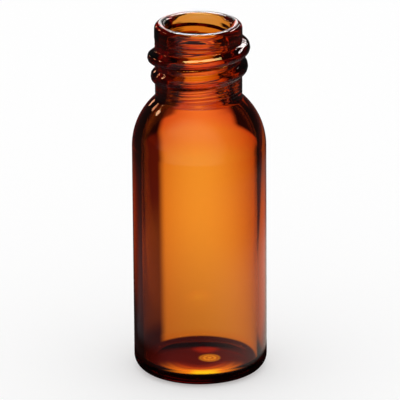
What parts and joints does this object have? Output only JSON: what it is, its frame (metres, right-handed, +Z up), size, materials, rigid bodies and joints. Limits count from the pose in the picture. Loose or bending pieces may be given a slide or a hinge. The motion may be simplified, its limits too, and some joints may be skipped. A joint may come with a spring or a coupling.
{
  "type": "glass sample vial",
  "caption": "Small round amber glass sample vial: straight body, domed shoulder, short neck with a coarse outside screw thread, rounded lip and slightly hollow base. No cap.",
  "frame": {"origin": "on the surface that the vial stands on, under the middle of its foot, on the axis of the body", "axes": "+Z up the axis, out of the mouth; the thread starts 45 degrees from +X towards +Y"},
  "size_m": [0.0118, 0.0118, 0.032],
  "materials": {
    "amber_glass": "clear fire-polished amber glass"
  },
  "bodies": {
    "root": {"vial": "amber_glass"}
  },
  "joints": []
}
